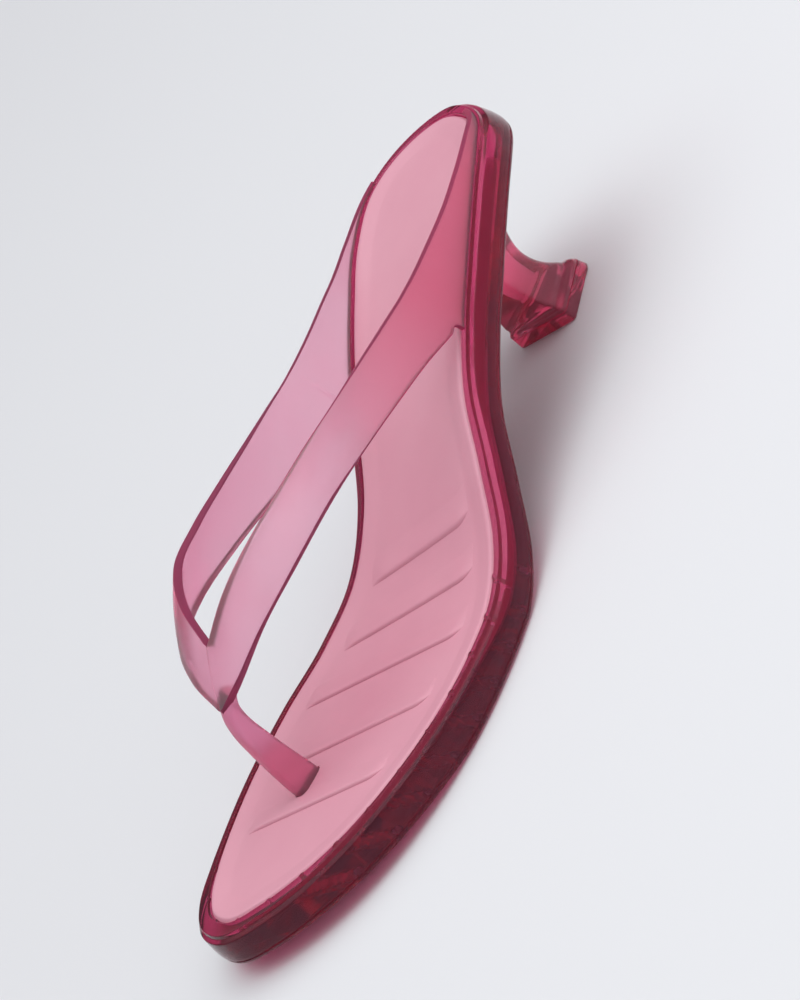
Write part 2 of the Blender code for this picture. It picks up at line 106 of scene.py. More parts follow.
def new_material(name):
    """Empty node material with its output and the object's own coordinates."""
    material = bpy.data.materials.new(name)
    material.use_nodes = True
    material.node_tree.nodes.clear()
    place = add_node(material, "ShaderNodeTexCoord").outputs["Object"]
    output = add_node(material, "ShaderNodeOutputMaterial")
    return material, place, output


def per_size(size_mm):
    """Texture scale at which one cell of a pattern is this large."""
    return 1.0 / (size_mm * MM)


print("a mid pink in linear values:", [round(c, 3) for c in linear("#d693a5")])

# %% [markdown]
# ## The clear PVC
# Plasticised PVC is a clear, slightly soft plastic with an IOR near 1.53. The pigment is in the
# plastic itself, so a thin strap looks pale and a thick sole looks dark. A Volume Absorption node
# gives that: it takes light away with distance, little red, much green and a good deal of blue.
# The base colour tints what passes the surface, and the share that isn't clear is a faint haze.
#
# At the real IOR most of the light stays trapped in such thin walls and they turn nearly black, so
# the IOR is lowered until the plastic glows as it does in the photograph. The skin comes from a
# polished mould: glossy, with a faint waviness and a few dull patches from handling. The pink tint
# on its reflections is a painted reflection, for light sent back from inside the plastic. The heel
# and its top lift are painted light: a paler tint and weaker absorption than the sole's. The strap
# is cloudier than the sole. Its deeper pink towards its outer root is painted shade where it meets
# the sole, and the stronger pink on its narrow edges is painted shade, where the eye looks along
# the plastic.

# %% Clear PVC
WAVE_MM = 9.0
WAVE_HEIGHT_MM = 0.02
SMEAR_MM = 22.0
SMEAR_RANGE = (0.35, 0.7)
DULLEST = 1.4
GLOSSIEST = 0.7
POLISH_ROUGHNESS = 0.09
# Painted shade: the strap turns a deeper pink towards its root, along this axis and between these
# distances.
ROOT_SHADE_AXIS = (-1.0, 0.9, 0.0)
ROOT_SHADE_FROM_MM = 22.0
ROOT_SHADE_AT_MM = 72.0
PLASTIC_COLUMNS = ("name", "ior", "tint", "painted_root_shade", "clearness", "absorption", "roughness",
                   "polish", "painted_reflection_tint", "shine")
PLASTICS = (
    # Thick, so deep raspberry, and clear enough to show the footbed behind it.
    ("clear_pvc_sole", 1.30, "#de7c9a", "#de7c9a", 0.92, (16.0, 120.0, 60.0), 0.05,
     0.1, "#ee9fb8", 0.5),
    # Painted light: a lighter red than the sole's, with bright bands where the waist bends the
    # light.
    ("clear_pvc_heel", 1.25, "#f48ea8", "#f48ea8", 0.84, (4.0, 66.0, 40.0), 0.06,
     0.3, "#f4bccd", 0.5),
    # The top lift: the same painted light as the heel.
    ("clear_pvc_top_lift", 1.25, "#f48ea8", "#f48ea8", 0.84, (4.0, 66.0, 40.0), 0.06,
     0.3, "#f4bccd", 0.5),
    # Cloudy and glowing: light from behind spreads in it. The deeper pink towards its root is
    # painted shade.
    ("cloudy_pvc_strap", 1.15, "#fbdae5", "#f0a2ba", 0.85, (20.0, 140.0, 84.0), 0.70,
     0.3, "#f8d0de", 0.5),
    # The narrow edges, painted a deeper pink as shade: dark lines round the pale band.
    ("clear_pvc_strap_edge", 1.15, "#e0709a", "#e0709a", 0.72, (20.0, 140.0, 84.0), 0.40,
     0.0, "#d07090", 0.1),
    # Thicker than the band, so between the two.
    ("clear_pvc_toe_post", 1.18, "#eeaac2", "#eeaac2", 0.82, (14.0, 95.0, 52.0), 0.42,
     0.4, "#f4bccd", 0.5),
)


def clear_pvc(name, ior, tint, painted_root_shade, clearness, absorption, roughness, polish, painted_reflection_tint,
              shine):
    """Tinted PVC, clear or cloudy inside, with a polished and slightly wavy skin."""
    material, place, output = new_material(name)
    # Painted shade: the colour runs from the tint to a deeper pink towards the root of the strap,
    # where it meets the sole.
    along = add_node(material, "ShaderNodeVectorMath", {0: place}, {1: ROOT_SHADE_AXIS},
                     operation="DOT_PRODUCT")
    root = add_node(material, "ShaderNodeMapRange", {"Value": along.outputs["Value"]},
                    {"From Min": ROOT_SHADE_FROM_MM * MM, "From Max": ROOT_SHADE_AT_MM * MM},
                    interpolation_type="SMOOTHSTEP")
    colour = add_node(material, "ShaderNodeMix", {"Factor": root.outputs["Result"]},
                      {6: linear(tint), 7: linear(painted_root_shade)}, data_type="RGBA")
    waves = add_node(material, "ShaderNodeTexNoise", {"Vector": place},
                     {"Scale": per_size(WAVE_MM), "Detail": 1.0})
    bump = add_node(material, "ShaderNodeBump", {"Height": waves.outputs["Fac"]},
                    {"Strength": 1.0, "Distance": WAVE_HEIGHT_MM * MM})
    smears = add_node(material, "ShaderNodeTexNoise", {"Vector": place},
                      {"Scale": per_size(SMEAR_MM), "Detail": 4.0, "Roughness": 0.6})
    gloss = add_node(material, "ShaderNodeMapRange", {"Value": smears.outputs["Fac"]},
                     {"From Min": SMEAR_RANGE[0], "From Max": SMEAR_RANGE[1],
                      "To Min": roughness * GLOSSIEST, "To Max": roughness * DULLEST})
    surface = add_node(material, "ShaderNodeBsdfPrincipled",
                       {"Base Color": colour.outputs[2], "Normal": bump.outputs["Normal"],
                        "Roughness": gloss.outputs["Result"]},
                       {"IOR": ior, "Transmission Weight": clearness, "Specular IOR Level": shine,
                        # Painted reflection: Specular Tint colours the reflections pink.
                        "Specular Tint": linear(painted_reflection_tint), "Coat Weight": polish,
                        "Coat Roughness": POLISH_ROUGHNESS})
    density = max(absorption)
    left = [1.0 - share / density for share in absorption]
    depth = add_node(material, "ShaderNodeVolumeAbsorption", None,
                     {"Color": (*left, 1.0), "Density": density})
    material.node_tree.links.new(surface.outputs["BSDF"], output.inputs["Surface"])
    material.node_tree.links.new(depth.outputs["Volume"], output.inputs["Volume"])
    return material


plastics = [clear_pvc(**dict(zip(PLASTIC_COLUMNS, row))) for row in PLASTICS]
sole_pvc, heel_pvc, lift_pvc, *strap_plastics = plastics
print("clear plastics:", [row[0] for row in PLASTICS])

# %% [markdown]
# ## The footbed's plastic
# The footbed is moulded from an opaque, softer PVC with a fine eggshell grain that keeps a foot
# from sliding. It scatters light, so it is matt, even in colour, and slightly warmer where the
# skin of the moulding is thin.

# %% Opaque footbed
FOOTBED_PALE = "#e0a3b4"
FOOTBED_DEEP = "#d694a7"
GRAIN_MM = 0.7
GRAIN_HEIGHT_MM = 0.05
MOTTLE_MM = 30.0
FOOTBED_IOR = 1.5
FOOTBED_ROUGHNESS = (0.42, 0.58)


def footbed_plastic():
    """Opaque pale-pink moulded plastic with a fine grain."""
    material, place, output = new_material("opaque_pvc_footbed")
    mottle = add_node(material, "ShaderNodeTexNoise", {"Vector": place},
                      {"Scale": per_size(MOTTLE_MM), "Detail": 3.0})
    colour = add_node(material, "ShaderNodeMix", {"Factor": mottle.outputs["Fac"]},
                      {6: linear(FOOTBED_PALE), 7: linear(FOOTBED_DEEP)}, data_type="RGBA")
    grain = add_node(material, "ShaderNodeTexNoise", {"Vector": place},
                     {"Scale": per_size(GRAIN_MM), "Detail": 2.0})
    bump = add_node(material, "ShaderNodeBump", {"Height": grain.outputs["Fac"]},
                    {"Strength": 0.5, "Distance": GRAIN_HEIGHT_MM * MM})
    dull = add_node(material, "ShaderNodeMapRange", {"Value": mottle.outputs["Fac"]},
                    {"To Min": FOOTBED_ROUGHNESS[0], "To Max": FOOTBED_ROUGHNESS[1]})
    surface = add_node(material, "ShaderNodeBsdfPrincipled",
                       {"Base Color": colour.outputs[2], "Normal": bump.outputs["Normal"],
                        "Roughness": dull.outputs["Result"]}, {"IOR": FOOTBED_IOR})
    material.node_tree.links.new(surface.outputs["BSDF"], output.inputs["Surface"])
    return material


insole_plastic = footbed_plastic()
print("footbed between", FOOTBED_PALE, "and", FOOTBED_DEEP)

# %% [markdown]
# ## The lines of the foot
# Every piece follows the same few curves: the two edges of the footbed, its height along the foot
# and the underside of the sole. A short table gives them at some stations, in millimetres from the
# back of the heel, and a smooth curve runs through each column.

# %% Foot table
FOOT_COLUMNS = ("station", "medial", "lateral", "top", "under")
FOOT = (
    (10.0, -28.4, -8.6, 55.0, 44.6),
    (17.0, -36.6, 1.8, 55.0, 44.6),
    (26.0, -40.4, 7.6, 54.8, 44.4),
    (44.0, -39.8, 13.8, 52.0, 41.4),
    (62.0, -35.4, 17.6, 47.2, 36.5),
    (80.0, -30.6, 20.3, 41.3, 30.6),
    (98.0, -26.6, 23.2, 33.4, 22.8),
    (116.0, -25.2, 29.0, 23.2, 12.6),
    (134.0, -29.6, 35.2, 14.2, 3.6),
    (150.0, -36.2, 39.8, 10.5, 0.0),
    (170.0, -41.0, 42.2, 10.3, 0.0),
    (188.0, -40.6, 41.4, 11.3, 0.0),
    (206.0, -36.8, 36.8, 12.7, 1.5),
    (222.0, -31.4, 28.0, 13.9, 3.0),
    (234.0, -25.2, 15.0, 14.7, 4.1),
    (240.0, -19.4, 3.8, 15.0, 4.6),
)
HEEL_TIP = (7.2, -18.4)
TOE_TIP = (243.4, -9.6)
FLAT_FROM = 150.0
FLAT_TO = 188.0
SIDE_STEPS = 420
EDGE_PROBE = 0.4
OVERLAP = 4


def column(rows, names, name):
    """One named column of a table as an array."""
    return np.array([row[names.index(name)] for row in rows], float)


def smooth(knots, values, where):
    """Cubic through the table values, with slopes from neighbours and straight ends."""
    knots = np.asarray(knots, float)
    values = np.asarray(values, float)
    where = np.clip(np.asarray(where, float), knots[0], knots[-1])
    chords = np.diff(values) / np.diff(knots)
    slopes = np.empty_like(values)
    slopes[0] = chords[0]
    slopes[-1] = chords[-1]
    left = np.diff(knots)[:-1]
    right = np.diff(knots)[1:]
    slopes[1:-1] = (chords[:-1] * right + chords[1:] * left) / (left + right)
    cell = np.clip(np.searchsorted(knots, where, side="right") - 1, 0, len(knots) - 2)
    width = knots[cell + 1] - knots[cell]
    t = (where - knots[cell]) / width
    a = (1 + 2 * t) * (1 - t) ** 2
    b = t * (1 - t) ** 2
    c = t * t * (3 - 2 * t)
    d = t * t * (t - 1)
    return (a * values[cell] + b * width * slopes[cell]
            + c * values[cell + 1] + d * width * slopes[cell + 1])


STATION = column(FOOT, FOOT_COLUMNS, "station")


def footbed(x):
    """Height of the footbed at its edge."""
    return smooth(STATION, column(FOOT, FOOT_COLUMNS, "top"), x)


def underside(x):
    """Height of the underside of the sole, flat where it rests on the floor."""
    height = np.maximum(smooth(STATION, column(FOOT, FOOT_COLUMNS, "under"), x), 0.0)
    resting = (np.asarray(x) >= FLAT_FROM) & (np.asarray(x) <= FLAT_TO)
    return np.where(resting, 0.0, height)


def ease(share):
    """Smooth step from 0 to 1."""
    share = np.clip(share, 0.0, 1.0)
    return share * share * (3.0 - 2.0 * share)


print("footbed at the heel and the ball:", float(footbed(20.0)), float(footbed(170.0)), "mm")

# %% [markdown]
# The two edges join at the heel tip and the toe tip to one closed ring. Both sides have the same
# number of points, so that faces can run straight across the foot from one side to the other.

# %% Outline of the footbed
def outline():
    """Plan points of the footbed edge and their outward normals."""
    lateral = np.column_stack((STATION, column(FOOT, FOOT_COLUMNS, "lateral")))
    medial = np.column_stack((STATION, column(FOOT, FOOT_COLUMNS, "medial")))
    ring = np.vstack((HEEL_TIP, lateral, TOE_TIP, medial[::-1]))
    looped = np.vstack((ring[-OVERLAP:], ring, ring[:OVERLAP + 1]))
    run = np.concatenate(([0.0], np.cumsum(np.linalg.norm(np.diff(looped, axis=0), axis=1))))
    start = run[OVERLAP]
    toe = run[OVERLAP + 1 + len(lateral)]
    end = run[OVERLAP + len(ring)]
    marks = np.concatenate((np.linspace(start, toe, SIDE_STEPS, endpoint=False),
                            np.linspace(toe, end, SIDE_STEPS, endpoint=False)))

    def at(mark):
        return np.column_stack((smooth(run, looped[:, 0], mark), smooth(run, looped[:, 1], mark)))

    along = at(marks + EDGE_PROBE) - at(marks - EDGE_PROBE)
    normals = np.column_stack((-along[:, 1], along[:, 0]))
    return at(marks), normals / np.linalg.norm(normals, axis=1)[:, None]


EDGE, OUTWARD = outline()
LEVEL = footbed(EDGE[:, 0])
print("footbed edge:", len(EDGE), "points,", np.ptp(EDGE, axis=0).round(1), "mm in plan")

# %% [markdown]
# ## Building a surface
# A moulded piece is a stack of closed rings with a skin between them and a cap at each end. The
# helper below collects rings and faces in millimetres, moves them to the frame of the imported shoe
# and makes a smooth-shaded object that rides on the shoe and stands for one of its solids.

# %% Surface helper
MERGE_MM = 0.0001


class Surface:
    """Points and faces of one piece, collected ring by ring, in millimetres."""

    def __init__(self):
        self.points = []
        self.faces = []

    def add(self, points):
        first = len(self.points)
        self.points.extend(np.asarray(points, float).tolist())
        return list(range(first, len(self.points)))

    def skin(self, ring_a, ring_b):
        """Wall between two rings of the same length."""
        for i in range(len(ring_a)):
            j = (i + 1) % len(ring_a)
            self.faces.append((ring_a[i], ring_a[j], ring_b[j], ring_b[i]))

    def loft(self, rings):
        """Walls between rings given as points; returns the first and the last ring."""
        added = [self.add(ring) for ring in rings]
        for a, b in zip(added[:-1], added[1:]):
            self.skin(a, b)
        return added[0], added[-1]

    def across(self, ring, columns, height):
        """Cap across a foot-shaped ring, with heights worked out from plan points."""
        half = len(ring) // 2
        corner = np.array(self.points)
        share = np.arange(1, columns) / columns
        rows = [[ring[0]]]
        for i in range(1, half):
            a = corner[ring[i]]
            b = corner[ring[-i]]
            inner = a + (b - a) * share[:, None]
            inner[:, 2] = height(inner[:, 0], inner[:, 1])
            rows.append([ring[i]] + self.add(inner) + [ring[-i]])
        rows.append([ring[half]])
        for low, high in zip(rows[:-1], rows[1:]):
            for j in range(columns):
                if len(low) == 1:
                    self.faces.append((low[0], high[j], high[j + 1]))
                elif len(high) == 1:
                    self.faces.append((low[j], high[0], low[j + 1]))
                else:
                    self.faces.append((low[j], high[j], high[j + 1], low[j + 1]))

    def cone(self, ring, tip):
        """Cap that closes a ring to one point."""
        middle = self.add([tip])[0]
        for i, first in enumerate(ring):
            self.faces.append((first, ring[(i + 1) % len(ring)], middle))

    def make(self, name):
        """Smooth-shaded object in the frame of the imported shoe, faces pointing out."""
        mesh = bpy.data.meshes.new(name)
        mesh.from_pydata(((np.array(self.points) - ORIGIN) * MM).tolist(), [], self.faces)
        work = bmesh.new()
        work.from_mesh(mesh)
        bmesh.ops.remove_doubles(work, verts=work.verts, dist=MERGE_MM * MM)
        bmesh.ops.recalc_face_normals(work, faces=work.faces)
        if work.calc_volume(signed=True) < 0:
            bmesh.ops.reverse_faces(work, faces=work.faces)
        work.to_mesh(mesh)
        work.free()
        mesh.shade_smooth()
        item = bpy.data.objects.new(name, mesh)
        bpy.context.scene.collection.objects.link(item)
        return item


def dress(item, node, *materials):
    """Finish a piece: its material, the body that it rides on and the solid that it stands for."""
    for material in materials:
        item.data.materials.append(material)
    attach(item, "root")
    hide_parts(node)
    low, high = (np.array(corner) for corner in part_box(node))
    points = np.array([v.co for v in item.data.vertices])
    off = max(np.abs(points.min(0) - low).max(), np.abs(points.max(0) - high).max())
    triangles = sum(len(face.vertices) - 2 for face in item.data.polygons)
    print(f"{item.name}: {triangles} triangles, within {off / MM:.2f} mm of the solid's box")


print("points closer than", MERGE_MM, "mm are merged")

# %% [markdown]
# ## The sole
# The sole is a tray: a floor under the footbed, a rim round it, a small ledge below the rim and a
# wall that flares outward before it turns under. Each point of the section stands out by its own
# distance along the sides, behind the heel and in front of the toe. Moulded corners are never
# sharp, so each corner of the section is drawn as a small curve. A fine line runs round the wall,
# where the two halves of the mould met.

# %% Sole section
TRAY_COLUMNS = ("station", "depth")
TRAY = (
    (8.0, 8.8),
    (60.0, 8.8),
    (110.0, 8.6),
    (140.0, 7.4),
    (165.0, 4.8),
    (185.0, 3.8),
    (244.0, 3.6),
)
# Columns: side, heel, toe, place (height over the footbed, or share of the wall), radius.
RIM = (
    (0.3, 0.3, 0.3, -0.5, 0.1),
    (0.6, 0.6, 0.6, 0.0, 0.2),
    (2.5, 3.2, 4.5, 0.0, 0.2),
    (2.8, 3.5, 4.8, -1.1, 0.12),
    (4.2, 4.7, 6.1, -1.6, 0.3),
)
WALL = (
    (4.9, 5.3, 6.4, 0.18, 1.0),
    (5.7, 6.0, 6.8, 0.42, 1.0),
    (6.2, 6.4, 7.0, 0.68, 0.6),
    (6.15, 6.35, 6.95, 0.75, 0.12),
    (5.8, 6.0, 6.6, 0.78, 0.1),
    (6.1, 6.3, 6.9, 0.81, 0.12),
    (6.0, 6.2, 6.8, 0.88, 0.4),
    (5.4, 5.6, 6.2, 0.96, 0.5),
    (4.4, 4.6, 5.2, 1.0, 0.8),
)
INNER_EDGE = (3.0, 3.2, 3.6, 1.0, 0.0)
HEEL_UNTIL = 36.0
TOE_FROM = 212.0
CORNER_STEPS = 3
CORNER_LIMIT = 0.45


def tray(x):
    """Depth of the tray under the footbed."""
    return smooth(column(TRAY, TRAY_COLUMNS, "station"), column(TRAY, TRAY_COLUMNS, "depth"), x)


def stand_out(row):
    """Outward distance of a section row at each point of the footbed edge."""
    side, heel, toe = row[:3]
    back = ease((HEEL_UNTIL - EDGE[:, 0]) / (HEEL_UNTIL - HEEL_TIP[0]))
    front = ease((EDGE[:, 0] - TOE_FROM) / (TOE_TIP[0] - TOE_FROM))
    return side + (heel - side) * back + (toe - side) * front


def round_corners(rows, radii):
    """Rows of points with every inner corner drawn as a small curve."""
    drawn = [rows[0]]
    for before, corner, after, radius in zip(rows[:-2], rows[1:-1], rows[2:], radii):
        ends = []
        for other in (before, after):
            step = other - corner
            length = np.linalg.norm(step, axis=1, keepdims=True)
            ends.append(corner + step * np.minimum(radius / length, CORNER_LIMIT))
        for i in range(CORNER_STEPS + 1):
            t = i / CORNER_STEPS
            drawn.append((1 - t) ** 2 * ends[0] + 2 * t * (1 - t) * corner + t * t * ends[1])
    drawn.append(rows[-1])
    return drawn


def wall_ring(row):
    """Ring of wall points at their share of the height from rim to underside."""
    plan = EDGE + OUTWARD * stand_out(row)[:, None]
    shoulder = LEVEL + RIM[-1][3]
    return np.column_stack((plan, shoulder + (underside(plan[:, 0]) - shoulder) * row[3]))


widest = EDGE + OUTWARD * stand_out(max(WALL))[:, None]
ORIGIN = np.append(0.5 * (widest.min(axis=0) + widest.max(axis=0)), 0.0)
print("origin of the shoe in table millimetres:", ORIGIN.round(2))

# %% [markdown]
# The underside carries a tread across the forefoot: flat blocks with grooves between them, cut up
# from below. Small fins join the rim to the footbed there. Both are seen through the wall, where
# they break up the dark band under the footbed.

# %% Sole
FIN_PITCH = 12.0
FIN_WIDTH = 1.1
FIN_REACH = 0.45
FIN_FROM = 138.0
FIN_ROWS = 2
TREAD_PITCH = 11.0
TREAD_GROOVE = 2.0
TREAD_DEPTH = 1.8
TREAD_FROM = 132.0
TREAD_TO = 228.0
TREAD_BORDER = -1.0
TREAD_FADE = 1.5
TREAD_SLOPE = 0.6
TRAY_FACES = 8
TREAD_FACES = 60


def tread(x, y):
    """Depth of the tread over the underside: grooves across the forefoot between flat blocks."""
    low = smooth(STATION, column(FOOT, FOOT_COLUMNS, "medial"), x) + TREAD_BORDER
    high = smooth(STATION, column(FOOT, FOOT_COLUMNS, "lateral"), x) - TREAD_BORDER
    inside = ease((y - low) / TREAD_FADE) * ease((high - y) / TREAD_FADE)
    inside = inside * (x > TREAD_FROM) * (x < TREAD_TO)
    off = np.abs((x - TREAD_FROM) / TREAD_PITCH % 1.0 - 0.5) * TREAD_PITCH
    return TREAD_DEPTH * inside * ease((TREAD_GROOVE / 2 + TREAD_SLOPE / 2 - off) / TREAD_SLOPE)


def fins():
    """1 where a small fin joins the rim to the footbed, 0 elsewhere."""
    run = np.cumsum(np.linalg.norm(np.diff(EDGE, axis=0, prepend=EDGE[:1]), axis=1))
    return ((run % FIN_PITCH < FIN_WIDTH) & (EDGE[:, 0] > FIN_FROM)).astype(float)


def draw_sole():
    floor_edge = np.column_stack((EDGE + OUTWARD * RIM[0][0], LEVEL - tray(EDGE[:, 0])))
    rows = [floor_edge]
    for i, row in enumerate(RIM):
        out = stand_out(row) - (FIN_REACH * fins() if i < FIN_ROWS else 0.0)
        rows.append(np.column_stack((EDGE + OUTWARD * out[:, None], LEVEL + row[3])))
    rows.extend(wall_ring(row) for row in WALL)
    rows.append(wall_ring(INNER_EDGE))
    surface = Surface()
    first, last = surface.loft(round_corners(rows, [row[4] for row in RIM + WALL]))
    surface.across(first, TRAY_FACES, lambda x, y: footbed(x) - tray(x))
    surface.across(last, TREAD_FACES, lambda x, y: underside(x) + tread(x, y))
    return surface.make("moulded_sole")


sole = draw_sole()
print("tread:", int((TREAD_TO - TREAD_FROM) / TREAD_PITCH), "grooves,", TREAD_DEPTH, "mm deep")

# %% [markdown]
# The toe post goes down through the footbed into a socket in the sole. The socket is cut with a
# Boolean modifier, and a cutter that follows the oval of the post with a little room round it.

# %% Socket
POST_SQUARENESS = 0.6
POST_POINTS = 64
# Middle in x and y, half length, half width and sweep of the bore.
BORE = (199.0, -8.7, 5.0, 2.7, 0.0)
BORE_TOP = 30.0
SOCKET_FLOOR = 4.4
SHARP_ANGLE = math.radians(50.0)


def combine(item, other, operation):
    """Join another closed piece to this one (UNION) or cut it away (DIFFERENCE)."""
    step = item.modifiers.new("combine", "BOOLEAN")
    step.operation = operation
    step.solver = "EXACT"
    step.object = other
    bpy.context.view_layer.update()
    evaluated = item.evaluated_get(bpy.context.evaluated_depsgraph_get())
    joined = bpy.data.meshes.new_from_object(evaluated)
    item.modifiers.clear()
    item.data = joined
    bpy.data.objects.remove(other)
    item.data.shade_smooth()
    item.data.set_sharp_from_angle(angle=SHARP_ANGLE)


def post_ring(row):
    """Oval section of the toe post at one height, swept back at its sides under the fork."""
    height, x, y, half_length, half_width, sweep = row
    angle = 2 * math.pi * np.arange(POST_POINTS) / POST_POINTS
    c = np.cos(angle)
    s = np.sin(angle)
    side = half_width * np.sign(s) * np.abs(s) ** POST_SQUARENESS
    ahead = half_length * np.sign(c) * np.abs(c) ** POST_SQUARENESS - sweep * np.abs(side)
    return np.column_stack((x + ahead, y + side, np.full(POST_POINTS, height)))


def draw_post_bore(floor_height):
    """Cutter for the hole that the toe post goes into."""
    surface = Surface()
    heights = (floor_height, BORE_TOP)
    rings = [post_ring((height, *BORE)) for height in heights]
    for ring, height in zip(surface.loft(rings), heights):
        surface.cone(ring, (*BORE[:2], height))
    return surface.make("post_bore")


combine(sole, draw_post_bore(SOCKET_FLOOR), "DIFFERENCE")
dress(sole, "sole", sole_pvc)

# %% [markdown]
# ## The footbed
# The footbed fills the tray. It has a bevelled lip round its edge, a field a little lower, and a
# hole for the toe post. A film of air stays between footbed and tray. Light that meets it at a
# slant is mirrored back into the plastic, so the rim looks dark from above, while a straight look
# through the wall shows the pink of the footbed.

# %% Footbed
FOOTBED_GAP = 0.3
FIELD_DROP = 0.9
FIELD_EDGE = 9.0
FIELD_FACES = 30
# Columns: distance out, rise over the footbed, radius.
LIP = (
    (0.0, -0.9, 0.2),
    (-0.8, -0.08, 0.25),
    (-1.6, 0.0, 0.6),
    (-4.0, -0.4, 1.4),
    (-7.0, -0.9, 1.6),
)


def field(x, y):
    """Height of the footbed inside its lip."""
    return footbed(x) - FIELD_DROP


def draw_footbed():
    rows = [np.column_stack((EDGE, LEVEL - tray(EDGE[:, 0]) + FOOTBED_GAP))]
    for out, rise, _ in LIP + ((-FIELD_EDGE, -FIELD_DROP, 0.0),):
        plan = EDGE + OUTWARD * out
        rows.append(np.column_stack((plan, footbed(plan[:, 0]) + rise)))
    surface = Surface()
    first, last = surface.loft(round_corners(rows, [row[2] for row in LIP]))
    surface.across(first, TRAY_FACES, lambda x, y: footbed(x) - tray(x) + FOOTBED_GAP)
    surface.across(last, FIELD_FACES, field)
    return surface.make("footbed")


bed = draw_footbed()
print("footbed field:", FIELD_DROP, "mm under the lip")

# %% [markdown]
# Five slanted grip ridges lie under the toes: gentle from behind, steep in front, with a small hook
# at the outer end. Faces that run straight across the foot can't follow them crisply, so each ridge
# is a closed strip of its own, sunk a little into the field and joined to it with a Boolean.

# %% Ridges
# Columns: lateral end in x and y, medial end in x and y.
RIDGES = (
    (203.0, 28.5, 213.5, -25.5),
    (180.5, 32.0, 193.2, -31.0),
    (159.0, 31.4, 171.2, -32.4),
    (141.4, 27.4, 153.4, -26.8),
    (126.6, 23.4, 136.0, -20.4),
)
# Columns: distance towards the toe, lift over the field.
RIDGE_PROFILE = (
    (-9.0, -0.1),
    (-7.0, 0.06),
    (-4.5, 0.38),
    (-2.2, 0.72),
    (-1.0, 0.85),
    (-0.5, 0.82),
    (-0.2, 0.62),
    (0.0, 0.25),
    (0.1, -0.2),
)
RIDGE_ROOT = -1.0
RIDGE_HOOK = 2.2
RIDGE_HOOK_RUN = 6.0
RIDGE_STEPS = 70
RIDGE_LATERAL_FADE = 5.0
RIDGE_MEDIAL_FADE = 7.0
HOLE_FLOOR = 2.0


def add_ridge(surface, row):
    """One closed ridge: gentle from the heel, steep towards the toe, hooked at its outer end."""
    start = np.array(row[:2])
    run = np.array(row[2:]) - start
    length = np.linalg.norm(run)
    run /= length
    ahead = np.array((-run[1], run[0]))
    root = ((RIDGE_PROFILE[-1][0], RIDGE_ROOT), (RIDGE_PROFILE[0][0], RIDGE_ROOT))
    profile = RIDGE_PROFILE + root
    rings = []
    for along in 0.5 * length * (1.0 - np.cos(np.linspace(0.0, math.pi, RIDGE_STEPS))):
        hook = RIDGE_HOOK * max(1.0 - along / RIDGE_HOOK_RUN, 0.0) ** 2
        swell = math.sqrt(ease(along / RIDGE_LATERAL_FADE)
                          * ease((length - along) / RIDGE_MEDIAL_FADE))
        plan = np.array([start + run * along + ahead * (toward_toe - hook)
                         for toward_toe, _ in profile])
        lift = np.array([height * swell if height > 0.0 else height for _, height in profile])
        rings.append(np.column_stack((plan, field(plan[:, 0], plan[:, 1]) + lift)))
    for ring, points in zip(surface.loft(rings), (rings[0], rings[-1])):
        surface.cone(ring, np.mean(points, axis=0))


def draw_ridges():
    surface = Surface()
    for row in RIDGES:
        add_ridge(surface, row)
    return surface.make("ridges")


combine(bed, draw_ridges(), "UNION")
combine(bed, draw_post_bore(HOLE_FLOOR), "DIFFERENCE")
dress(bed, "insole", insole_plastic)

# %% [markdown]
# ## The heel
# The heel is a small waisted block: square at the front, rounded behind, narrow in the middle and
# flared to a foot below and to a seat above. A table gives its section from the foot up to the
# waist, and a second one from the waist up to the sole, as shares of the height that is left.

# %% Heel tables
HEEL_MIDDLE = (33.5, -15.8)
HEEL_TURN = math.radians(11.0)
TOP_LIFT_HEIGHT = 3.6
JOINT_GAP = 0.3
JOINT_WELD = 0.05
# Columns: height, back, front, half width at the back, half width at the front.
TOP_LIFT = (
    (0.0, -12.9, 10.7, 8.9, 11.2),
    (0.4, -13.2, 11.0, 9.2, 11.5),
    (TOP_LIFT_HEIGHT, -12.2, 11.0, 9.0, 11.3),
)
HEEL_SHAFT = (
    (TOP_LIFT_HEIGHT + JOINT_GAP, -12.0, 11.0, 9.0, 11.3),
    (5.4, -10.6, 11.05, 8.6, 10.9),
    (5.7, -10.1, 10.9, 8.3, 10.6),
    (8.6, -7.4, 11.3, 7.4, 9.5),
    (12.4, -4.9, 11.6, 6.6, 8.3),
    (17.0, -3.4, 12.1, 6.1, 7.4),
    (21.0, -3.3, 12.6, 6.2, 7.2),
)
# The same, with shares of the height between waist and sole.
HEEL_SEAT = (
    (0.22, -4.9, 13.4, 7.2, 7.9),
    (0.44, -7.9, 14.8, 9.4, 9.6),
    (0.66, -12.2, 16.8, 12.6, 12.2),
    (0.85, -17.2, 19.2, 15.8, 15.4),
    (1.0, -21.8, 21.6, 18.2, 18.0),
)
HEEL_BACK_RADIUS = 0.55
HEEL_FRONT_RADIUS = 1.1
HEEL_LEVELS = 180
HEEL_SEAT_RUN = 20.0
HEEL_TOP_RINGS = (0.75, 0.5, 0.25)
CORNER_POINTS_FRONT = 6
CORNER_POINTS_BACK = 14


